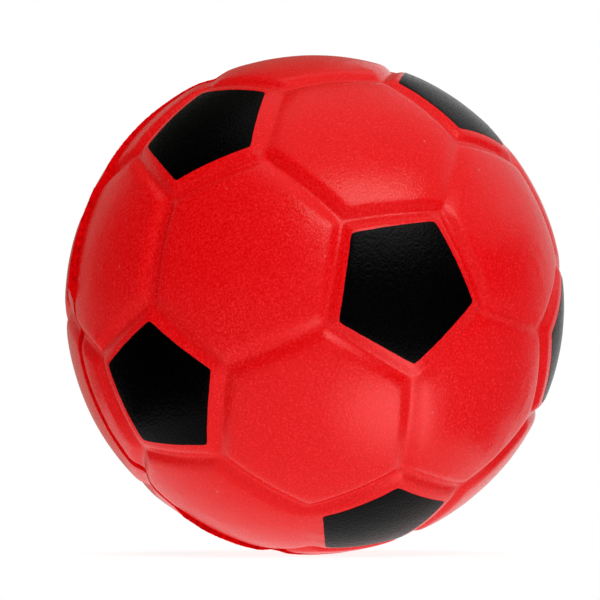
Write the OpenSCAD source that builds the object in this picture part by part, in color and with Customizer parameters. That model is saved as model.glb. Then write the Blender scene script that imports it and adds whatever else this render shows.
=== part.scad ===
// Foam toy football, moulded in two halves, with its panels in low relief and its pentagons printed on.
// The origin is the centre of the ball. The front mould half faces -Y, and +Z is up.

/* [Ball] */
// Diameter over the panels
ball_d = 63; // [45:1:110]
// Thickness of the dense skin that forms against the mould
skin_t = 1.6; // [1.4:0.1:4]

/* [Seams] */
// Depth at the middle of a seam
seam_depth = 0.6; // [0.4:0.05:0.9]
// Distance from the middle of a seam to the edge of its rounded shoulder
seam_half = 1.6; // [1.2:0.1:2.4]

/* [Printed pentagons] */
// Red rim between a seam's shoulder and the print
print_rim = 0.3; // [0.1:0.05:1]
// Thickness of the ink film
print_t = 0.08; // [0.05:0.01:0.2]

/* [Parting line] */
// Width of the trimmed flash ring
flash_w = 0.8; // [0.4:0.1:1.6]
// Height of the trimmed flash above the panels and the seams
flash_proud = 0.4; // [0.05:0.05:0.8]
// Depth of the flash ring's root below the middle of a seam
flash_root = 0.3; // [0.2:0.05:0.4]

/* [Placing] */
// Turn of the panel pattern about the mould axis
pattern_turn = -10.6; // [-36:0.1:36]
// Gap drawn between layers that are bonded to each other
bond_gap = 0.02; // [0.01:0.01:0.05]

/* [Hidden] */
$fn = 96;

skin_red = "#DD1A1C";
foam_red = "#E0584C";
flash_red = "#B81216";
print_black = "#17191B";

// Radii of the layers, from the core outwards
ball_r = ball_d / 2;
skin_inner_r = ball_r - skin_t;
core_r = skin_inner_r - bond_gap;
flash_inner_r = ball_r - seam_depth - flash_root;
flash_outer_r = ball_r + flash_proud;
print_inner_r = ball_r + bond_gap;
print_outer_r = print_inner_r + print_t;

// The twelve pentagons sit at the corners of an icosahedron that stands on its pole:
// the front pole, a ring of five, a second ring turned by half a step, and the rear pole.
sides = 5;
ring_step = 360 / sides;
ring_lat = atan(1 / 2);
function ring(lat, turn) = [
    for (k = [0:sides - 1])
        let (lon = turn + ring_step * k)
            [cos(lat) * cos(lon), cos(lat) * sin(lon), sin(lat)]
];
pentagons = concat([[0, 0, 1]], ring(ring_lat, 0), ring(-ring_lat, ring_step / 2), [[0, 0, -1]]);
last = len(pentagons) - 1;

// Neighbouring pentagons are 63 degrees apart, and the next ones 117 degrees
function unit(v) = v / norm(v);
function near(i, j) = i != j && pentagons[i] * pentagons[j] > 0;

// The panel corner of pentagon i that points at pentagon j lies a third of the way along their chord
function corner(i, j) = unit(2 * pentagons[i] + pentagons[j]);

// Seams between two hexagons, one for each pair of neighbouring pentagons
hexagon_seams = [
    for (i = [0:last])
        for (j = [i + 1:1:last])
            if (near(i, j)) [corner(i, j), corner(j, i)]
];

// Seams round the pentagons, one for each pair of neighbouring corners
pentagon_seams = [
    for (i = [0:last])
        for (j = [0:last])
            for (k = [j + 1:1:last])
                if (near(i, j) && near(i, k) && near(j, k)) [corner(i, j), corner(i, k)]
];
seams = concat(hexagon_seams, pentagon_seams);

// A shoulder is an arc that starts three times as steep at the middle of the seam as it runs out
// into the panel. Its centre lies to the side of the seam.
mean_slope = atan(seam_depth / seam_half);
run_out = mean_slope / 2;
steep = 3 * run_out;
shoulder_r = seam_depth / (cos(run_out) - cos(steep));
shoulder_side = shoulder_r * sin(steep);

// The print is a smaller pentagon inside its panel, at an even distance from the seams
panel_apothem = acos(pentagons[0] * unit(corner(0, 1) + corner(0, 2)));
print_apothem = panel_apothem - (seam_half + print_rim) / ball_r * 180 / PI;
print_corner = atan(tan(print_apothem) / cos(ring_step / 2));

// From the mould's frame, with its axis along +Z, to the ball's, with the front half facing -Y
module placed() {
    rotate([90, 0, 0]) rotate([0, 0, pattern_turn]) children();
}

// Cross-section of a seam's cut, between the arcs of its two shoulders
module seam_profile(r) {
    bottom = r - seam_depth;
    difference() {
        translate([bottom, -shoulder_side]) square([shoulder_r, 2 * shoulder_side]);
        for (side = [-1, 1])
            translate([bottom - shoulder_r * cos(steep), side * shoulder_side]) circle(shoulder_r);
    }
}

// The cut along one seam, from panel corner to panel corner, in a sphere of radius r
module seam_cut(seam, r) {
    start = seam[0];
    normal = unit(cross(start, seam[1]));
    along = cross(normal, start);
    multmatrix([
        [start.x, along.x, normal.x, 0],
        [start.y, along.y, normal.y, 0],
        [start.z, along.z, normal.z, 0]
    ])
        rotate_extrude(angle = acos(start * seam[1])) seam_profile(r);
}

// A flat ring about the mould axis, centred on the parting plane
module parting_ring(inner_r, outer_r, w) {
    rotate_extrude() translate([inner_r, -w / 2]) square([outer_r - inner_r, w]);
}

// The skin of one mould half, with its seams and with the seat of the flash ring along its rim
module half_skin() {
    difference() {
        sphere(ball_r);
        sphere(skin_inner_r);
        for (seam = seams)
            if (max(seam[0].z, seam[1].z) > 0) seam_cut(seam, ball_r);
        parting_ring(flash_inner_r - bond_gap, flash_outer_r, flash_w + 2 * bond_gap);
        translate([-ball_d, -ball_d, bond_gap / 2 - 2 * ball_d]) cube(2 * ball_d);
    }
}

// The ink film on pentagon i: a layer of even thickness inside a five-sided cone from the centre
module pentagon_print(i) {
    first = [for (j = [0:last]) if (near(i, j)) j][0];
    out = pentagons[i];
    across = unit(cross(out, pentagons[first]));
    to_corner = cross(across, out);
    cone_h = 2 * print_outer_r;
    color(print_black) placed() multmatrix([
        [to_corner.x, across.x, out.x, 0],
        [to_corner.y, across.y, out.y, 0],
        [to_corner.z, across.z, out.z, 0]
    ])
        intersection() {
            difference() {
                sphere(print_outer_r);
                sphere(print_inner_r);
            }
            cylinder(h = cone_h, r1 = 0, r2 = cone_h * tan(print_corner), $fn = sides);
        }
}

// The solid cellular foam inside the skin
module foam_core() {
    color(foam_red) sphere(core_r);
}

// The front half's skin
module front_skin() {
    color(skin_red) placed() half_skin();
}

// The rear half's skin: the front one turned over and by half a step of the ring
module rear_skin() {
    color(skin_red) placed() rotate([0, 0, ring_step / 2]) rotate([180, 0, 0]) half_skin();
}

// The flash ring, trimmed back to follow the panels and the seams that it crosses
module parting_flash() {
    color(flash_red) placed() difference() {
        parting_ring(flash_inner_r, flash_outer_r, flash_w);
        for (seam = hexagon_seams)
            if (seam[0].z * seam[1].z < 0) seam_cut(seam, flash_outer_r);
    }
}

module print_front_centre() { pentagon_print(0); }
module print_front_right() { pentagon_print(1); }
module print_front_top_right() { pentagon_print(2); }
module print_front_top_left() { pentagon_print(3); }
module print_front_left() { pentagon_print(4); }
module print_front_bottom() { pentagon_print(5); }
module print_rear_right() { pentagon_print(6); }
module print_rear_top() { pentagon_print(7); }
module print_rear_left() { pentagon_print(8); }
module print_rear_bottom_left() { pentagon_print(9); }
module print_rear_bottom_right() { pentagon_print(10); }
module print_rear_centre() { pentagon_print(11); }

foam_core();
front_skin();
rear_skin();
parting_flash();
print_front_centre();
print_front_right();
print_front_top_right();
print_front_top_left();
print_front_left();
print_front_bottom();
print_rear_right();
print_rear_top();
print_rear_left();
print_rear_bottom_left();
print_rear_bottom_right();
print_rear_centre();
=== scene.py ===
"""Foam toy football: a red moulded foam ball, with its panels in low relief and its pentagons printed black."""
import math

import bmesh
import bpy
import numpy as np
from mathutils import Matrix, Vector, noise


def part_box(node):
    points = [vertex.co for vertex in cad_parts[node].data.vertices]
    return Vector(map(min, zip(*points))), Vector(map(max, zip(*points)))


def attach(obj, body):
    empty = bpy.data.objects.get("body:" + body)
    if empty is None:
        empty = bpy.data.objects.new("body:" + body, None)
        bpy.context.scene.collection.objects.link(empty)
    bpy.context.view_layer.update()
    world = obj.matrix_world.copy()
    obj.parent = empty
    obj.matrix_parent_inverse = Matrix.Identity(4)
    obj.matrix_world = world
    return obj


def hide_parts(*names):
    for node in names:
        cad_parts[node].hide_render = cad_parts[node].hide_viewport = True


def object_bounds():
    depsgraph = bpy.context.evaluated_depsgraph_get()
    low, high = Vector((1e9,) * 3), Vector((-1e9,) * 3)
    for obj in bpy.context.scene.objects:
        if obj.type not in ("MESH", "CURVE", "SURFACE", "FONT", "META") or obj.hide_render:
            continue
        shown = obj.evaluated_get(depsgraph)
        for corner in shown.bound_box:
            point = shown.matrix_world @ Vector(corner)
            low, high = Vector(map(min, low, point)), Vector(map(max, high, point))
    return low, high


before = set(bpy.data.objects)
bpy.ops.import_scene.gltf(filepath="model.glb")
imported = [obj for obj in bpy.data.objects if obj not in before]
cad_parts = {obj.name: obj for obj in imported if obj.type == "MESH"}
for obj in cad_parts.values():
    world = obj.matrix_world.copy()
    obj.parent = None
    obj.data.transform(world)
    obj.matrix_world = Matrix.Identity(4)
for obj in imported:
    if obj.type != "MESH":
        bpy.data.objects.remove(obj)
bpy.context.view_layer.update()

MM = 0.001

# Sizes that come from the CAD solids
BALL_R = -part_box("front_skin")[0].y
CORE_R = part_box("foam_core")[1].z
FLASH_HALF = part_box("parting_flash")[1].y

# Layers: the gap drawn between bonded layers, the skin's inner face, and the seat of the flash in its edges
BOND_GAP = 0.02 * MM
SKIN_INNER_R = CORE_R + BOND_GAP
SEAT_DEPTH = 0.95 * MM
SEAT_R = BALL_R - SEAT_DEPTH
SEAT_HALF = FLASH_HALF + BOND_GAP
FLASH_ROOT_R = SEAT_R + 2 * BOND_GAP

# Panel pattern: twelve pentagons, in five-fold rings about the mould axis
PENTAGONS = 12
RING_SIDES = 5
RING_LAT = math.atan(0.5)
RING_STEP = math.radians(72)
PATTERN_TURN = math.radians(-10.6)

# Seams: each is a valley between two round shoulders. It has the slope of its sides, its half width between two
# hexagons and beside a pentagon, and the rounding of its shoulders, of its valley and of its corners.
SEAM_SLOPE = 0.52
SEAM_HALF = 1.24 * MM
PENTAGON_SEAM_HALF = 0.94 * MM
SHOULDER = 0.25 * MM
VALLEY = 0.25 * MM
CORNER_BLEND = 0.18 * MM
CORNER_FLOOR = 0.18 * MM

# How deep the seams are, as a share of the common depth: round each pentagon, on single sides of a pentagon,
# named by the two pentagons that the side lies between, and on single lines from one pentagon to another
PENTAGON_DEPTH = (1.0, 1.0, 1.0, 0.85, 0.85, 1.0, 1.0, 0.9, 1.0, 0.8, 1.0, 0.9)
SIDE_DEPTH = {(0, 1, 5): 0.5, (3, 0, 2): 0.35, (5, 4, 9): 0.3}
LINE_DEPTH = {
    (0, 1): 0.75, (0, 2): 0.55, (1, 2): 0.7, (3, 4): 1.25, (3, 7): 0.6, (7, 8): 0.7, (9, 11): 0.7}

# Panels: how far they fall towards their seams, and the height, size and noise offset of their slight unevenness
PILLOW_DEPTH = 0.07 * MM
PILLOW_REACH = 5.0 * MM
UNEVEN = ((0.035 * MM, 8 * MM, 0.0), (0.012 * MM, 2.2 * MM, 7.3))

# Grids of a panel and of a print: their rows from the middle to a side, how evenly these lie, where 1 is even, and
# how close two points are joined, in metres and as a share of the ball's radius
PANEL_ROWS = 32
PANEL_EVENNESS = 0.35
PANEL_JOIN = 0.002 * MM
PRINT_ROWS = 30
PRINT_EVENNESS = 0.6
PRINT_JOIN = 1e-5

# Parting line, by the angle from +X towards +Z: how far the flash stands above the skin, and the depth and
# width of the crevice along the front half, in millimetres
PARTING = np.array([
    (0, 0.15, 0.12, 0.8), (20, 0.05, 0.10, 0.8), (40, 0.30, 0.10, 0.6), (60, 0.12, 0.15, 0.8),
    (80, 0.20, 0.15, 0.8), (100, 0.08, 0.10, 0.8), (118, 0.10, 0.12, 0.8), (128, 0.25, 0.10, 0.6),
    (136, 0.40, 0.10, 0.6), (145, 0.52, 0.10, 0.6), (151, 0.60, 0.10, 0.6), (157, 0.66, 0.08, 0.5),
    (165, 0.72, 0.08, 0.5), (172, 0.76, 0.08, 0.5), (177.5, 0.76, 0.08, 0.5), (181, 0.05, 0.05, 0.5),
    (184.5, 0.00, 0.02, 0.5), (187, -0.10, 0.25, 1.2), (195, -0.12, 0.30, 1.4), (218, -0.10, 0.30, 1.4),
    (230, 0.00, 0.12, 0.8), (234, 0.05, 0.12, 0.8), (237, 0.45, 0.15, 0.8), (243, 0.52, 0.12, 0.7),
    (250, 0.50, 0.12, 0.7), (256, 0.40, 0.12, 0.7), (262, 0.20, 0.12, 0.8), (270, 0.10, 0.12, 0.8),
    (281, 0.08, 0.10, 0.8), (300, 0.25, 0.12, 0.8), (320, 0.10, 0.12, 0.8), (340, 0.35, 0.10, 0.6),
])
FLASH_RISE, CREVICE_DEPTH, CREVICE_WIDTH = 1, 2, 3

# Edges of the two halves at the parting line: the rear one's roll, how ragged both are, how the rolls curve, and
# where rows of points are cut in beside them, in millimetres from the flash
REAR_EDGE_DEPTH = 0.12 * MM
REAR_EDGE_WIDTH = 0.7 * MM
EDGE_RAGGED = 0.25
EDGE_RAGGED_SIZE = 1.3 * MM
FRONT_ROLL, REAR_ROLL = 1.6, 2
EDGE_ROWS = (0, 0.08, 0.2, 0.4, 0.65, 0.95, 1.3, 1.7)
CUT_TOLERANCE = 1e-7

# Inner face of a half: its rings, and the latitude of the last one in degrees
INNER_RINGS = 12
INNER_TOP = 88

# Flash: its points round the ball, and the height at which it is a full fin. A fin bridges the seams, is thinner at
# its waist, and has beads and tears along its crest, with their heights in millimetres. The flash leans to one side
# or the other, less at its foot than at its crest, and its crest is rounded.
FLASH_STEPS = 2000
FIN_HEIGHT = 0.4 * MM
FIN_BRIDGE = 0.75
FIN_WAIST = 0.45
BEAD_RISE, BEAD_SIZE = 0.04, 0.32 * MM
TEAR_RISE, TEAR_SIZE = 0.06, 2.5 * MM
LEAN, LEAN_SIZE = 0.08 * MM, 3.5 * MM
LEAN_LOWER, LEAN_UPPER = 0.3, 0.6
FOOT_DEPTH = 0.1 * MM
CREST_ROUND = 0.03 * MM
CREST_SHARE = 0.7

# Prints, in the order of the pentagons: how far each landed off the middle of its panel, towards the panel's
# first corner and across, in millimetres, how far it is turned, and the angle from its middle to a corner
PRINTS = [
    ("front_centre", -0.24, -0.11, 1.9, 16.59), ("front_right", -0.90, -0.30, 1.5, 15.70),
    ("front_top_right", 0.51, -0.59, 2.4, 15.39), ("front_top_left", 0.11, -0.22, 1.9, 15.53),
    ("front_left", 0.49, 0.12, 1.5, 15.76), ("front_bottom", -0.08, 0.26, -0.4, 15.53),
    ("rear_right", 0.30, -0.20, 1.2, 15.70), ("rear_top", -0.25, 0.15, -1.0, 15.60),
    ("rear_left", -0.85, 0.45, 0.8, 15.40), ("rear_bottom_left", 0.20, 0.30, 1.6, 15.80),
    ("rear_bottom_right", -0.15, -0.35, -0.6, 15.60), ("rear_centre", 0.20, 0.10, 1.4, 16.20),
]

# Ink film: the heights of its two faces above the skin and, as shares of a print's size, how far its outline wavers
# and its corners are rounded
INK_LOW = 0.006 * MM
INK_HIGH = 0.035 * MM
INK_WAVER, INK_WAVER_SIZE = 0.005, 0.09
INK_CORNER_ROUND, INK_CORNER_REACH = 0.012, 0.03

# Core: the size and depth of the coarser cells on its surface
CORE_CELL = 2.5 * MM
CORE_CELL_DEPTH = 0.2 * MM
CORE_SUBDIVISIONS = 6

# Set and camera, as they are in the photograph, which is 600 pixels wide
PHOTO_PIXELS = 600
BALL_RIGHT, BALL_DOWN = 14.56, 4.55
CAMERA_AZIMUTH, CAMERA_ELEVATION = -20.39, -3.92
CAMERA_DISTANCE = 11.14 * BALL_R
CAMERA_LENS = 166.0
FLOOR_R = 3.0
FLOOR_FADE = (0.024, 0.045)
# Glowing disc of painted reflection on the table: its radius and its middle
GLOW_R = 0.023
GLOW_MIDDLE = (0.007, -0.045)
SCREEN_R = 0.9
WHITE = "#FFFFFF"
WARM_WHITE = "#FFFAEC"
AMBIENT = 0.18


def linear(code):
    """An sRGB hex colour as linear red, green, blue and alpha."""
    parts = [int(code[k:k + 2], 16) / 255 for k in (1, 3, 5)]
    return (*(c / 12.92 if c <= 0.04045 else ((c + 0.055) / 1.055) ** 2.4 for c in parts), 1.0)


def fill(tree, node, inputs):
    """Fills a node's inputs, each with another node's output or with a plain value."""
    for key, value in inputs.items():
        if isinstance(value, bpy.types.NodeSocket):
            tree.links.new(value, node.inputs[key])
        else:
            node.inputs[key].default_value = value


def add_node(tree, kind, inputs=None, stops=(), **settings):
    """Adds a node with its settings and inputs, and the places and colours of a colour ramp's stops."""
    node = tree.nodes.new(kind)
    for name, value in settings.items():
        setattr(node, name, value)
    fill(tree, node, inputs or {})
    for k, (place, code) in enumerate(stops):
        node.color_ramp.elements[k].position = place
        node.color_ramp.elements[k].color = linear(code)
    return node


def link_object(name, data):
    """A new object in the scene, at the origin."""
    made = bpy.data.objects.new(name, data)
    bpy.context.scene.collection.objects.link(made)
    return made


def unit(v):
    """Vectors scaled to length one."""
    v = np.asarray(v, float)
    return v / np.linalg.norm(v, axis=-1, keepdims=True)


def grain(points, size, offset=0.0):
    """Smooth noise from -1 to 1 at points in metres, with lumps of about the given size. The offset moves on to
    another stretch of the noise."""
    return np.array([noise.noise(Vector(p)) for p in np.asarray(points) / size + offset])


def positions(mesh):
    """The vertices of a mesh as an array."""
    flat = np.empty(3 * len(mesh.vertices), np.float32)
    mesh.vertices.foreach_get("co", flat)
    return flat.reshape(-1, 3).astype(float)


def mesh_from(name, points, faces):
    """A mesh from points and faces."""
    made = bpy.data.meshes.new(name)
    made.from_pydata([tuple(p) for p in points], [], [tuple(map(int, f)) for f in faces])
    made.update()
    return made


# Panel pattern: twelve pentagons at the corners of an icosahedron, with twenty hexagons between them

def placed(v):
    """From the mould's frame, with its axis along +Z, to the ball's, with the front half facing -Y."""
    x, y, z = np.moveaxis(np.asarray(v, float), -1, 0)
    c, s = math.cos(PATTERN_TURN), math.sin(PATTERN_TURN)
    return np.stack([c * x - s * y, -z, s * x + c * y], -1)


mould_pentagons = [(0, 0, 1)]
for lat, turn in ((RING_LAT, 0), (-RING_LAT, RING_STEP / 2)):
    for k in range(RING_SIDES):
        lon = turn + RING_STEP * k
        mould_pentagons.append((math.cos(lat) * math.cos(lon), math.cos(lat) * math.sin(lon), math.sin(lat)))
mould_pentagons.append((0, 0, -1))
pentagons = placed(mould_pentagons)


def near(i, j):
    """True for two pentagons that a single seam joins."""
    return i != j and pentagons[i] @ pentagons[j] > 0


def corner(i, j):
    """The panel corner of pentagon i that points at pentagon j."""
    return unit(2 * pentagons[i] + pentagons[j])


# A seam has its two ends, its half width and its depth. A sector is one side of a panel with the panel's centre:
# five make a pentagon, and six a hexagon, which lies between three pentagons.
sectors = []
seams = []
for i in range(PENTAGONS):
    for j in range(PENTAGONS):
        if i < j and near(i, j):
            seams.append((corner(i, j), corner(j, i), SEAM_HALF, LINE_DEPTH.get((i, j), 1.0)))
        for k in range(j + 1, PENTAGONS):
            if near(i, j) and near(i, k) and near(j, k):
                depth = SIDE_DEPTH.get((i, j, k), PENTAGON_DEPTH[i])
                seams.append((corner(i, j), corner(i, k), PENTAGON_SEAM_HALF, depth))
                sectors.append((5, pentagons[i], corner(i, j), corner(i, k)))
                middle = unit(pentagons[i] + pentagons[j] + pentagons[k])
                sectors.append((6, middle, corner(i, j), corner(i, k)))
                if i < j:
                    for a, b in ((i, j), (i, k), (j, k)):
                        sectors.append((6, middle, corner(a, b), corner(b, a)))


def seam_distance(p):
    """Distance in metres from unit directions to the nearest seam, rounded in the valley and where seams meet, and
    drawn out beside the pentagons, whose seams are narrower."""
    total = np.zeros(len(p))
    for start, end, half, depth in seams:
        normal = unit(np.cross(start, end))
        beside = np.abs(np.arcsin(np.clip(p @ normal, -1, 1)))
        beyond = np.arccos(np.clip(np.maximum(p @ start, p @ end), -1, 1))
        inside = (p @ np.cross(normal, start) > 0) & (p @ np.cross(end, normal) > 0)
        gap = (np.hypot(np.where(inside, beside, beyond) * BALL_R, VALLEY) - VALLEY) * SEAM_HALF / half
        total += np.exp(-(SEAM_HALF + depth * (gap - SEAM_HALF)) / CORNER_BLEND)
    joined = -CORNER_BLEND * np.log(total)
    return (joined + np.hypot(joined, CORNER_FLOOR) - CORNER_FLOOR) / 2


def relief(p):
    """Height of the skin above the ball's nominal radius at unit directions, in metres."""
    off_seam = seam_distance(p)
    rise = -SEAM_SLOPE * SHOULDER * np.logaddexp(0, (SEAM_HALF - off_seam) / SHOULDER)
    rise -= PILLOW_DEPTH * np.clip(1 - off_seam / PILLOW_REACH, 0, None) ** 2
    rise += sum(height * grain(p * BALL_R, size, offset) for height, size, offset in UNEVEN)
    return rise


def parting_value(angle, column):
    """A value of the parting line at angles in radians, in metres."""
    return np.interp(np.degrees(angle) % 360, PARTING[:, 0], PARTING[:, column], period=360) * MM


def parting_crevice(p):
    """Depth that the edges of the two halves roll in beside the flash, in metres."""
    angle = np.arctan2(p[:, 2], p[:, 0])
    ragged = 1 + EDGE_RAGGED * grain(p * BALL_R, EDGE_RAGGED_SIZE, offset=3.1)
    lateral = p[:, 1] * BALL_R
    front = np.clip(1 + lateral / (parting_value(angle, CREVICE_WIDTH) * ragged), 0, 1) ** FRONT_ROLL
    rear = np.clip(1 - lateral / (REAR_EDGE_WIDTH * ragged), 0, 1) ** REAR_ROLL
    return np.where(lateral < 0, parting_value(angle, CREVICE_DEPTH) * front, REAR_EDGE_DEPTH * rear)


# Materials

def material(name):
    """A new node material: its tree, its shader and its Object coordinates."""
    made = bpy.data.materials.new(name)
    made.use_nodes = True
    tree = made.node_tree
    return made, tree, tree.nodes["Principled BSDF"], add_node(tree, "ShaderNodeTexCoord").outputs["Object"]


def per_metre(size_mm):
    """Scale of a texture whose pattern repeats at a size in millimetres."""
    return 1 / (size_mm * MM)


def skin_material():
    """Self-skinned flexible polyurethane foam, moulded against a lightly blasted tool: an even satin red, slightly
    mottled, with a few pale pores where a cell broke, faint creases and a soft sheen at the edges."""
    made, tree, shader, spot = material("self_skinned_polyurethane_foam_red")

    # The grain of a blasted tool is under 0.1 mm, and is drawn coarser here so that it shows
    cells = add_node(tree, "ShaderNodeTexNoise", {"Vector": spot, "Scale": per_metre(0.27), "Detail": 1.0})
    fine = add_node(tree, "ShaderNodeValToRGB", {"Fac": cells.outputs["Fac"]}, (
        (0.37, "#DC0000"), (0.69, "#EC171E")))

    # Broad clouds, where the colour paste is a little richer
    clouds = add_node(tree, "ShaderNodeTexNoise", {"Vector": spot, "Scale": per_metre(9.0), "Detail": 2.0})
    broad = add_node(tree, "ShaderNodeMapRange", {
        "Value": clouds.outputs["Fac"], "From Min": 0.3, "From Max": 0.7, "To Min": 0.0, "To Max": 0.3})
    mottled = add_node(tree, "ShaderNodeMix", {
        "Factor": broad.outputs["Result"], "A": fine.outputs["Color"], "B": linear("#E40203")},
        data_type="RGBA")

    # Pale pores, in about one place in seven
    pores = add_node(tree, "ShaderNodeTexVoronoi", {"Vector": spot, "Scale": per_metre(2.4)})
    dots = add_node(tree, "ShaderNodeMapRange", {
        "Value": pores.outputs["Distance"], "From Min": 0.05, "From Max": 0.09, "To Min": 0.6, "To Max": 0.0})
    lot = add_node(tree, "ShaderNodeSeparateColor", {"Color": pores.outputs["Color"]})
    chosen = add_node(tree, "ShaderNodeMath", {0: lot.outputs["Red"], 1: 0.86}, operation="GREATER_THAN")
    few = add_node(tree, "ShaderNodeMath", {
        0: dots.outputs["Result"], 1: chosen.outputs[0]}, operation="MULTIPLY")
    speckled = add_node(tree, "ShaderNodeMix", {
        "Factor": few.outputs[0], "A": mottled.outputs["Result"], "B": linear("#F0807A")}, data_type="RGBA")

    # Gloss and bump from the grain, and shallow creases over them
    gloss = add_node(tree, "ShaderNodeMapRange", {
        "Value": cells.outputs["Fac"], "From Min": 0.3, "From Max": 0.7, "To Min": 0.20, "To Max": 0.28})
    bump = add_node(tree, "ShaderNodeBump", {
        "Height": cells.outputs["Fac"], "Strength": 1.0, "Distance": 0.04 * MM})
    marks = add_node(tree, "ShaderNodeTexNoise", {
        "Vector": spot, "Scale": per_metre(3.2), "Detail": 2.0}, noise_type="RIDGED_MULTIFRACTAL")
    creased = add_node(tree, "ShaderNodeBump", {
        "Height": marks.outputs["Fac"], "Strength": 0.9, "Distance": 0.10 * MM,
        "Normal": bump.outputs["Normal"]})
    fill(tree, shader, {
        "Base Color": speckled.outputs["Result"], "Roughness": gloss.outputs["Result"],
        "Normal": creased.outputs["Normal"], "IOR": 1.42, "Specular IOR Level": 0.21})
    return made


def flash_material():
    """Torn polyurethane foam, where the flash was trimmed off by hand: open cells, a deep red with no sheen. The
    cells are drawn coarser than the real ones so that they show."""
    made, tree, shader, spot = material("torn_polyurethane_foam_red")
    cells = add_node(tree, "ShaderNodeTexNoise", {"Vector": spot, "Scale": per_metre(0.5), "Detail": 3.0})
    tone = add_node(tree, "ShaderNodeValToRGB", {"Fac": cells.outputs["Fac"]}, (
        (0.32, "#B80206"), (0.68, "#EC080C")))
    bump = add_node(tree, "ShaderNodeBump", {
        "Height": cells.outputs["Fac"], "Strength": 0.8, "Distance": 0.15 * MM})
    fill(tree, shader, {
        "Base Color": tone.outputs["Color"], "Normal": bump.outputs["Normal"], "Roughness": 0.85, "IOR": 1.42,
        "Specular IOR Level": 0.0})
    return made


def ink_material():
    """Pad-printing ink, black and satin, laid thin over the foam's own grain, which is drawn coarser than the real
    one so that it shows."""
    made, tree, shader, spot = material("pad_printing_ink_black")
    cells = add_node(tree, "ShaderNodeTexNoise", {"Vector": spot, "Scale": per_metre(0.34), "Detail": 2.0})
    tone = add_node(tree, "ShaderNodeValToRGB", {"Fac": cells.outputs["Fac"]}, (
        (0.30, "#000000"), (0.75, "#020202")))
    gloss = add_node(tree, "ShaderNodeMapRange", {
        "Value": cells.outputs["Fac"], "From Min": 0.3, "From Max": 0.7, "To Min": 0.21, "To Max": 0.31})
    bump = add_node(tree, "ShaderNodeBump", {
        "Height": cells.outputs["Fac"], "Strength": 0.9, "Distance": 0.06 * MM})
    fill(tree, shader, {
        "Base Color": tone.outputs["Color"], "Roughness": gloss.outputs["Result"],
        "Normal": bump.outputs["Normal"], "IOR": 1.45, "Specular IOR Level": 0.042})
    return made


def core_material():
    """Open-cell flexible polyurethane foam, as it rose in the mould: a paler red, dull and full of cells."""
    made, tree, shader, spot = material("open_cell_polyurethane_foam_red")
    cells = add_node(tree, "ShaderNodeTexVoronoi", {"Vector": spot, "Scale": per_metre(0.8)})
    tone = add_node(tree, "ShaderNodeValToRGB", {"Fac": cells.outputs["Distance"]}, (
        (0.0, "#B83C34"), (1.0, "#E0584C")))
    bump = add_node(tree, "ShaderNodeBump", {
        "Height": cells.outputs["Distance"], "Strength": 0.8, "Distance": 0.3 * MM})
    fill(tree, shader, {
        "Base Color": tone.outputs["Color"], "Normal": bump.outputs["Normal"], "Roughness": 0.9, "IOR": 1.4})
    return made


skin_red = skin_material()
flash_red = flash_material()
ink_black = ink_material()
core_red = core_material()


# Geometry trees

def new_tree(name, inputs):
    """An empty geometry tree with named inputs, its input node and its output node."""
    tree = bpy.data.node_groups.new(name, "GeometryNodeTree")
    for label, kind in inputs:
        tree.interface.new_socket(label, in_out="INPUT", socket_type=kind)
    tree.interface.new_socket("Geometry", in_out="OUTPUT", socket_type="NodeSocketGeometry")
    return tree, tree.nodes.new("NodeGroupInput").outputs, tree.nodes.new("NodeGroupOutput").inputs


def grown(tree, mesh, values):
    """The plain mesh that a geometry tree makes from a start mesh and the values of its named inputs."""
    holder = link_object(tree.name, mesh)
    modifier = holder.modifiers.new(tree.name, "NODES")
    modifier.node_group = tree
    for item in tree.interface.items_tree:
        if item.in_out == "INPUT" and item.name in values:
            modifier[item.identifier] = values[item.name]
    result = holder.evaluated_get(bpy.context.evaluated_depsgraph_get())
    made = bpy.data.meshes.new_from_object(result)
    bpy.data.objects.remove(holder)
    return made


def sector_grid(rows, evenness):
    """Fractions (out, across) over a triangle, with rows crowded towards its far side, and its faces."""
    points, faces = [], []
    for row in range(rows + 1):
        step = row / rows
        out = evenness * step + (1 - evenness) * (1 - (1 - step) ** 2)
        points += [(out, 2 * k / row - 1 if row else 0.0) for k in range(row + 1)]
    for row in range(rows):
        first, below = row * (row + 1) // 2, (row + 1) * (row + 2) // 2
        for k in range(row + 1):
            faces.append((first + k, below + k, below + k + 1))
            if k < row:
                faces.append((first + k, below + k + 1, first + k + 1))
    return np.array(points), faces


def sector_patch(sides):
    """One side's share of a panel on the ball, with the panel's centre on +Z and the side's middle towards +X."""
    _, middle, start, end = next(s for s in sectors if s[0] == sides)
    apothem = math.acos(middle @ unit(start + end))
    grid, faces = sector_grid(PANEL_ROWS, PANEL_EVENNESS)
    out = grid[:, 0] * math.tan(apothem)
    across = out * grid[:, 1] * math.tan(math.pi / sides)
    points = unit(np.stack([out, across, np.ones_like(out)], -1)) * BALL_R
    return link_object(f"sector_{sides}", mesh_from(f"sector_{sides}", points, faces))


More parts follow.
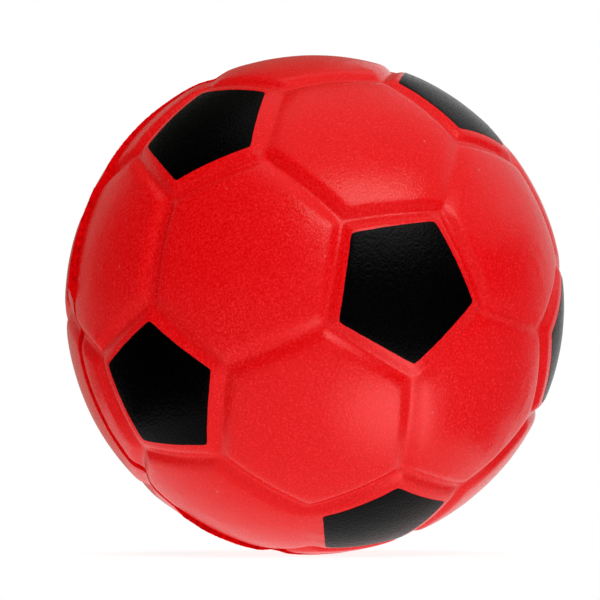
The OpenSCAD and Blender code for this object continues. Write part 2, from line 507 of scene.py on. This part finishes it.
def panel_tree():
    """Turns a sector of each kind of panel to every place it has on the ball, and joins them along the seams."""
    tree, given, result = new_tree("panel_sectors", [
        ("Geometry", "NodeSocketGeometry"), ("Pentagon sector", "NodeSocketObject"),
        ("Hexagon sector", "NodeSocketObject"), ("Join distance", "NodeSocketFloat"),
        ("Finish", "NodeSocketMaterial")])
    turn = add_node(tree, "GeometryNodeInputNamedAttribute", {"Name": "turn"}, data_type="QUATERNION")
    five = add_node(tree, "GeometryNodeInputNamedAttribute", {"Name": "five_sided"}, data_type="BOOLEAN")
    six = add_node(tree, "FunctionNodeBooleanMath", {0: five.outputs["Attribute"]}, operation="NOT")
    joined = add_node(tree, "GeometryNodeJoinGeometry")
    for chosen, label in ((five.outputs["Attribute"], "Pentagon sector"), (six.outputs[0], "Hexagon sector")):
        patch = add_node(tree, "GeometryNodeObjectInfo", {"Object": given[label]})
        spread = add_node(tree, "GeometryNodeInstanceOnPoints", {
            "Points": given["Geometry"], "Selection": chosen, "Instance": patch.outputs["Geometry"],
            "Rotation": turn.outputs["Attribute"]})
        tree.links.new(spread.outputs["Instances"], joined.inputs["Geometry"])
    real = add_node(tree, "GeometryNodeRealizeInstances", {"Geometry": joined.outputs["Geometry"]})
    merged = add_node(tree, "GeometryNodeMergeByDistance", {
        "Geometry": real.outputs["Geometry"], "Distance": given["Join distance"]})
    finished = add_node(tree, "GeometryNodeSetMaterial", {
        "Geometry": merged.outputs["Geometry"], "Material": given["Finish"]})
    tree.links.new(finished.outputs["Geometry"], result["Geometry"])
    return tree


def panelled_ball():
    """The whole ball of panels, before its relief."""
    turns = []
    for _, middle, start, end in sectors:
        side = unit(start + end)
        x = unit(side - (side @ middle) * middle)
        y = np.cross(middle, x)
        turns.append(Matrix(np.stack([x, y, middle], -1).tolist()).to_quaternion())
    spots = mesh_from("sector_places", np.zeros((len(sectors), 3)), [])
    turn = spots.attributes.new("turn", "QUATERNION", "POINT")
    turn.data.foreach_set("value", [part for q in turns for part in q])
    five = spots.attributes.new("five_sided", "BOOLEAN", "POINT")
    five.data.foreach_set("value", [s[0] == 5 for s in sectors])
    patches = sector_patch(5), sector_patch(6)
    whole = grown(panel_tree(), spots, {
        "Pentagon sector": patches[0], "Hexagon sector": patches[1], "Join distance": PANEL_JOIN,
        "Finish": skin_red})
    for patch in patches:
        bpy.data.objects.remove(patch)
    return whole


# Pieces

def finish_piece(name, mesh, finish, solid, sharp=60):
    """Makes a piece that rides on the ball's one body and stands for its CAD solid."""
    mesh.materials.clear()
    mesh.materials.append(finish)
    mesh.shade_smooth()
    mesh.set_sharp_from_angle(angle=math.radians(sharp))
    piece = link_object(name, mesh)
    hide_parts(solid)
    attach(piece, "root")
    return piece


def ring_to(bm, edges, radius, y):
    """Draws the open rim of a half on to a circle about the mould axis, and gives the new rim."""
    made = bmesh.ops.extrude_edge_only(bm, edges=edges)["geom"]
    for vert in made:
        if isinstance(vert, bmesh.types.BMVert):
            scale = radius / math.hypot(vert.co.x, vert.co.z)
            vert.co = Vector((vert.co.x * scale, y, vert.co.z * scale))
    return [e for e in made if isinstance(e, bmesh.types.BMEdge) and e.is_boundary]


def half_skin(name, solid, whole, side):
    """One mould half's skin: side is -1 at the front and 1 at the rear."""
    bm = bmesh.new()
    bm.from_mesh(whole)
    for k, off in enumerate(EDGE_ROWS):
        bmesh.ops.bisect_plane(
            bm, geom=[*bm.verts, *bm.edges, *bm.faces], dist=CUT_TOLERANCE, plane_no=(0, side, 0),
            plane_co=(0, side * (SEAT_HALF + MM * off), 0), clear_inner=k == 0)
    mesh = bpy.data.meshes.new(name)
    bm.to_mesh(mesh)
    p = unit(positions(mesh))
    radius = BALL_R + relief(p) - parting_crevice(p)
    mesh.vertices.foreach_set("co", (p * radius[:, None]).ravel())
    bm.clear()
    bm.from_mesh(mesh)

    # The rim goes in to the flash's seat, back to the other half, and over the inner face to its pole
    rim = [e for e in bm.edges if e.is_boundary]
    for vert in {v for e in rim for v in e.verts}:
        vert.co.y = side * SEAT_HALF
    rim = ring_to(bm, rim, SEAT_R, side * SEAT_HALF)
    rim = ring_to(bm, rim, SEAT_R, side * BOND_GAP / 2)
    for lat in np.radians(np.linspace(0, INNER_TOP, INNER_RINGS)):
        y = max(SKIN_INNER_R * math.sin(lat), BOND_GAP / 2)
        rim = ring_to(bm, rim, SKIN_INNER_R * math.cos(lat), side * y)
    bmesh.ops.contextual_create(bm, geom=rim)
    bmesh.ops.triangulate(bm, faces=[f for f in bm.faces if len(f.verts) > 4])
    bmesh.ops.recalc_face_normals(bm, faces=bm.faces)
    bm.to_mesh(mesh)
    bm.free()
    return finish_piece(name, mesh, skin_red, solid)


def pentagon_print(i):
    """The ink film on a pentagon: five sectors with slightly uneven edges, laid over the relief."""
    name, along, aside, turned, reach = PRINTS[i]
    out = pentagons[i]
    first = pentagons[next(k for k in range(PENTAGONS) if near(i, k))]
    to_corner = unit(first - (first @ out) * out)
    across = np.cross(out, to_corner)

    # The five sectors on the pentagon's own plane, with rounded corners and a wavering outline
    grid, faces = sector_grid(PRINT_ROWS, PRINT_EVENNESS)
    apothem = math.tan(math.radians(reach)) * math.cos(RING_STEP / 2)
    u, w = grid[:, 0] * apothem, grid[:, 0] * grid[:, 1] * apothem * math.tan(RING_STEP / 2)
    points, all_faces = [], []
    for k in range(RING_SIDES):
        turn = RING_STEP * (k + 0.5) + math.radians(turned)
        c, s = math.cos(turn), math.sin(turn)
        points.append(np.stack([u * c - w * s, u * s + w * c], -1))
        all_faces += [tuple(v + k * len(grid) for v in f) for f in faces]
    flat = np.concatenate(points)
    bearing = np.arctan2(flat[:, 1], flat[:, 0])
    off_corner = np.abs((bearing - math.radians(turned) + RING_STEP / 2) % RING_STEP - RING_STEP / 2)
    ring = np.stack([np.cos(bearing), np.sin(bearing), np.full_like(bearing, i)], -1)
    rounded = INK_CORNER_ROUND * np.exp(-(off_corner / INK_CORNER_REACH) ** 2)
    swell = 1 + INK_WAVER * grain(ring, INK_WAVER_SIZE) - rounded
    flat = flat * swell[:, None] + np.array([along, aside]) * MM / BALL_R
    p = unit(out + flat[:, :1] * to_corner + flat[:, 1:] * across)

    # A closed film, with its two faces a little above the skin
    bm = bmesh.new()
    bm.from_mesh(mesh_from(name, p, all_faces))
    bmesh.ops.remove_doubles(bm, verts=bm.verts, dist=PRINT_JOIN)
    made = bmesh.ops.extrude_face_region(bm, geom=bm.faces[:])["geom"]
    top = [v for v in made if isinstance(v, bmesh.types.BMVert)]
    bm.verts.index_update()
    height = np.full(len(bm.verts), INK_LOW)
    height[[v.index for v in top]] = INK_HIGH
    bm.verts.ensure_lookup_table()
    p = unit([v.co for v in bm.verts])
    for vert, place in zip(bm.verts, p * (BALL_R + relief(p) + height)[:, None]):
        vert.co = place
    bmesh.ops.recalc_face_normals(bm, faces=bm.faces)
    mesh = bpy.data.meshes.new(name)
    bm.to_mesh(mesh)
    bm.free()
    return finish_piece(f"ink_{name}", mesh, ink_black, f"print_{name}")


def parting_flash():
    """The flash: a thin fin that the two mould halves squeezed out, torn off unevenly. It is a closed section
    carried round the ball, from its root in the seat up one side, over its crest and down the other."""
    angle = np.linspace(0, 2 * math.pi, FLASH_STEPS, endpoint=False)
    p = np.stack([np.cos(angle), np.zeros_like(angle), np.sin(angle)], -1)
    skin = BALL_R + relief(p)
    rise = parting_value(angle, FLASH_RISE)
    raised = np.clip(rise / FIN_HEIGHT, 0, 1)
    beads = grain(p * BALL_R, BEAD_SIZE, offset=1.7)
    tears = grain(p * BALL_R, TEAR_SIZE, offset=4.2)
    torn = raised * (BEAD_RISE * beads + TEAR_RISE * tears) * MM
    crest = BALL_R + (1 - FIN_BRIDGE * raised) * (skin - BALL_R) + rise + torn
    lean = LEAN * grain(p * BALL_R, LEAN_SIZE, offset=9.4)
    root = np.full_like(crest, FLASH_ROOT_R)
    wide = np.full_like(crest, FLASH_HALF)
    thin = FLASH_HALF * (1 - FIN_WAIST * raised)
    foot = np.minimum(skin, crest) - FOOT_DEPTH
    lower, upper, brim = (2 * foot + crest) / 3, (foot + 2 * crest) / 3, crest - CREST_ROUND
    section = [
        (-wide, root), (-wide, foot), (-thin + LEAN_LOWER * lean, lower), (-thin + LEAN_UPPER * lean, upper),
        (-CREST_SHARE * thin + lean, brim), (lean, crest), (CREST_SHARE * thin + lean, brim),
        (thin + LEAN_UPPER * lean, upper), (thin + LEAN_LOWER * lean, lower), (wide, foot), (wide, root)]
    points = np.concatenate([np.stack([p[:, 0] * r, y, p[:, 2] * r], -1) for y, r in section])
    faces = []
    for k in range(len(section)):
        a, b = k * FLASH_STEPS, (k + 1) % len(section) * FLASH_STEPS
        for s in range(FLASH_STEPS):
            t = (s + 1) % FLASH_STEPS
            faces.append((a + s, a + t, b + t, b + s))
    mesh = mesh_from("parting_flash", points, faces)
    bm = bmesh.new()
    bm.from_mesh(mesh)
    bmesh.ops.recalc_face_normals(bm, faces=bm.faces)
    bm.to_mesh(mesh)
    bm.free()
    return finish_piece("flash_ring", mesh, flash_red, "parting_flash")


def core_tree():
    """A ball whose surface is dimpled inwards by the foam's coarser cells."""
    tree, given, result = new_tree("foam_cells", [
        ("Geometry", "NodeSocketGeometry"), ("Radius", "NodeSocketFloat"), ("Cell size", "NodeSocketFloat"),
        ("Cell depth", "NodeSocketFloat"), ("Finish", "NodeSocketMaterial")])
    sphere = add_node(tree, "GeometryNodeMeshIcoSphere", {
        "Radius": given["Radius"], "Subdivisions": CORE_SUBDIVISIONS})
    density = add_node(tree, "ShaderNodeMath", {0: 1.0, 1: given["Cell size"]}, operation="DIVIDE")
    cells = add_node(tree, "ShaderNodeTexVoronoi", {"Scale": density.outputs[0]})
    depth = add_node(tree, "ShaderNodeMath", {
        0: cells.outputs["Distance"], 1: given["Cell depth"]}, operation="MULTIPLY")
    normal = add_node(tree, "GeometryNodeInputNormal")
    outwards = add_node(tree, "ShaderNodeVectorMath", {
        0: normal.outputs[0], "Scale": depth.outputs[0]}, operation="SCALE")
    inwards = add_node(tree, "ShaderNodeVectorMath", {0: outwards.outputs[0], "Scale": -1.0}, operation="SCALE")
    dimpled = add_node(tree, "GeometryNodeSetPosition", {
        "Geometry": sphere.outputs["Mesh"], "Offset": inwards.outputs[0]})
    real = add_node(tree, "GeometryNodeRealizeInstances", {"Geometry": dimpled.outputs["Geometry"]})
    finished = add_node(tree, "GeometryNodeSetMaterial", {
        "Geometry": real.outputs["Geometry"], "Material": given["Finish"]})
    tree.links.new(finished.outputs["Geometry"], result["Geometry"])
    return tree


ball = panelled_ball()
front_half = half_skin("skin_front_half", "front_skin", ball, -1)
rear_half = half_skin("skin_rear_half", "rear_skin", ball, 1)
bpy.data.meshes.remove(ball)
for i in range(PENTAGONS):
    pentagon_print(i)
parting_flash()
core_mesh = grown(core_tree(), bpy.data.meshes.new("core_start"), {
    "Radius": CORE_R, "Cell size": CORE_CELL, "Cell depth": CORE_CELL_DEPTH, "Finish": core_red})
core = finish_piece("core_foam", core_mesh, core_red, "foam_core")


# Floor, light and camera
FLOOR_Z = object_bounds()[0].z
GLOW_Z = FLOOR_Z + 0.1 * MM
SCREEN_Z = FLOOR_Z + 0.2 * MM


def background_rays(tree):
    """One where a ray sees the background as it is: from the camera, in a reflection or through something clear."""
    path = add_node(tree, "ShaderNodeLightPath")
    mirrored = add_node(tree, "ShaderNodeMath", {
        0: path.outputs["Is Camera Ray"], 1: path.outputs["Is Glossy Ray"]}, operation="MAXIMUM")
    clear = add_node(tree, "ShaderNodeMath", {
        0: mirrored.outputs[0], 1: path.outputs["Is Transmission Ray"]}, operation="MAXIMUM")
    return clear.outputs[0]


def floor_material():
    """Translucent white acrylic table, lit from below: it keeps a soft shadow, and turns white further off."""
    made, tree, shader, spot = material("translucent_white_acrylic")
    fill(tree, shader, {
        "Base Color": linear("#999999"), "Roughness": 0.9, "Specular IOR Level": 0.0,
        "Emission Color": linear(WHITE), "Emission Strength": 0.88})
    distance = add_node(tree, "ShaderNodeVectorMath", {0: spot}, operation="LENGTH")
    far = add_node(tree, "ShaderNodeMapRange", {
        "Value": distance.outputs["Value"], "From Min": FLOOR_FADE[0], "From Max": FLOOR_FADE[1]})
    share = add_node(tree, "ShaderNodeMath", {
        0: background_rays(tree), 1: far.outputs["Result"]}, operation="MULTIPLY")
    white = add_node(tree, "ShaderNodeEmission", {"Color": linear(WHITE), "Strength": 1.0})
    mixed = add_node(tree, "ShaderNodeMixShader", {
        0: share.outputs[0], 1: shader.outputs["BSDF"], 2: white.outputs["Emission"]})
    tree.links.new(mixed.outputs["Shader"], tree.nodes["Material Output"].inputs["Surface"])
    return made


def painted_glint_material():
    """Painted reflection: a disc on the table that glows, brightest in the middle, with no lamp under it, for the
    highlight on the ball's lower front.
    """
    made, tree, _, spot = material("lit_white_acrylic")
    distance = add_node(tree, "ShaderNodeVectorMath", {0: spot}, operation="LENGTH")
    falling = add_node(tree, "ShaderNodeMapRange", {
        "Value": distance.outputs["Value"], "From Min": 0.004, "From Max": GLOW_R, "To Min": 6.6, "To Max": 1.0},
        interpolation_type="SMOOTHSTEP")
    light = add_node(tree, "ShaderNodeEmission", {"Strength": falling.outputs["Result"]})
    tree.links.new(light.outputs["Emission"], tree.nodes["Material Output"].inputs["Surface"])
    return made


def painted_reflection_material(name, shade):
    """Painted reflection: a sheet that only glows, evenly, in its shade, light or dark, with no lamp behind it."""
    made, tree, shader, _ = material(f"lit_cotton_{name}")
    fill(tree, shader, {
        "Base Color": linear("#000000"), "Specular IOR Level": 0.0, "Emission Color": linear(shade),
        "Emission Strength": 1.0})
    return made


def set_piece(name, mesh, finish):
    """A piece of the set, which isn't part of the ball."""
    mesh.materials.append(finish)
    made = link_object(name, mesh)
    return made


def only_mirrored(piece):
    """Leaves a piece of the set to reflections alone."""
    piece.visible_camera = piece.visible_diffuse = piece.visible_shadow = False


def table_disc(name, radius, place, finish):
    """A flat disc of the set, facing up."""
    bm = bmesh.new()
    bmesh.ops.create_circle(bm, cap_ends=True, segments=96, radius=radius)
    mesh = bpy.data.meshes.new(name)
    bm.to_mesh(mesh)
    bm.free()
    disc = set_piece(name, mesh, finish)
    disc.location = place
    return disc


def screen(name, first, last, shade, top, near_edge=None, hung=None):
    """A glowing screen between two azimuths. It lies on the table from its near edge and then stands up, or it is
    hung with its lower edge at a height. Only reflections see it."""
    outline = [(SCREEN_R, hung), (SCREEN_R, top)]
    if near_edge is not None:
        outline = [(near_edge, SCREEN_Z), (SCREEN_R, SCREEN_Z), (SCREEN_R, top)]
    angles = np.radians(np.linspace(first, last, 2 + (last - first) // 5))
    points = [(r * math.sin(a), -r * math.cos(a), z) for r, z in outline for a in angles]
    count = len(angles)
    faces = [(row + k, row + k + 1, row + count + k + 1, row + count + k)
             for row in range(0, count * (len(outline) - 1), count) for k in range(count - 1)]
    only_mirrored(set_piece(name, mesh_from(name, points, faces), painted_reflection_material(name, shade)))


def towards(azimuth, elevation, distance):
    """A point at an azimuth and elevation in degrees, seen from the ball as the views are counted."""
    a, e = math.radians(azimuth), math.radians(elevation)
    return Vector((math.sin(a) * math.cos(e), -math.cos(a) * math.cos(e), math.sin(e))) * distance


def aim(made, azimuth, elevation, distance):
    """Puts a lamp or the camera in its place, facing the ball."""
    made.location = towards(azimuth, elevation, distance)
    made.rotation_euler = made.location.to_track_quat("Z", "Y").to_euler()


def softbox(name, azimuth, elevation, distance, width, height, watts, tint):
    """A studio light that faces the ball."""
    lamp = bpy.data.lights.new(name, "AREA")
    lamp.shape = "RECTANGLE"
    lamp.size, lamp.size_y = width, height
    lamp.energy = watts
    lamp.color = linear(tint)[:3]
    light = link_object(name, lamp)
    aim(light, azimuth, elevation, distance)
    return light


table_disc("floor", FLOOR_R, (0, 0, FLOOR_Z), floor_material())
# Painted reflection: a glowing disc that only the ball's reflections see, which paints the highlight on its lower
# front
only_mirrored(table_disc("table_glow", GLOW_R, (*GLOW_MIDDLE, GLOW_Z), painted_glint_material()))

# Lamps: azimuth and elevation, distance, width and height in metres, watts and tint. The highlights that show come
# from the accent light, and the plain light from the others.
softbox("key_light", 6, 43, 0.60, 0.50, 0.17, 1.26, WARM_WHITE)
softbox("accent_light", 9, 33, 0.60, 0.42, 0.26, 1.35, WHITE).visible_diffuse = False
softbox("top_light", -50, 80, 0.70, 0.60, 0.60, 1.98, WARM_WHITE).visible_glossy = False
softbox("fill_light", 0, -2, 0.60, 0.60, 0.60, 1.06, WHITE).visible_glossy = False

# Screens of painted reflection, light or dark, for the skin to mirror: first and last azimuth, shade, heights in
# metres
screen("back_screen", 155, 172, "#7C7C70", top=2.0, hung=0.15)
screen("high_right_screen", 138, 155, "#A0A098", top=2.0, hung=0.6)
screen("high_left_screen", 172, 216, "#606058", top=2.2, hung=0.55)
screen("back_left_screen", 172, 216, "#B4B4A8", top=0.55, near_edge=0.055)
screen("left_back_screen", 216, 236, "#585858", top=2.2, near_edge=0.080)
screen("left_screen", 236, 300, "#303030", top=1.8, near_edge=0.045)
screen("left_front_screen", 300, 320, "#808080", top=1.0, near_edge=0.060)
screen("front_screen", -40, 30, "#7C849C", top=0.8, near_edge=0.09)
screen("right_screen", 30, 80, "#444C5C", top=0.33, near_edge=0.036)
screen("far_right_screen", 80, 98, "#5C6474", top=0.33, near_edge=0.06)
screen("right_back_screen", 98, 106, "#8C8C8C", top=0.33, near_edge=0.85)
screen("far_back_screen", 106, 138, "#E0E0E0", top=0.6, near_edge=0.85)

world = bpy.data.worlds.new("studio")
bpy.context.scene.world = world
world.use_nodes = True
sky = world.node_tree
level = add_node(sky, "ShaderNodeMapRange", {"Value": background_rays(sky), "To Min": AMBIENT, "To Max": 1.0})
fill(sky, sky.nodes["Background"], {"Color": linear(WHITE), "Strength": level.outputs["Result"]})

lens = bpy.data.cameras.new("camera")
lens.sensor_width = 36
lens.lens = CAMERA_LENS
lens.shift_x = -BALL_RIGHT / PHOTO_PIXELS
lens.shift_y = BALL_DOWN / PHOTO_PIXELS
lens.clip_start = 0.01
camera = link_object("camera", lens)
aim(camera, CAMERA_AZIMUTH, CAMERA_ELEVATION, CAMERA_DISTANCE)
bpy.context.scene.camera = camera
bpy.context.scene.view_settings.view_transform = "Standard"
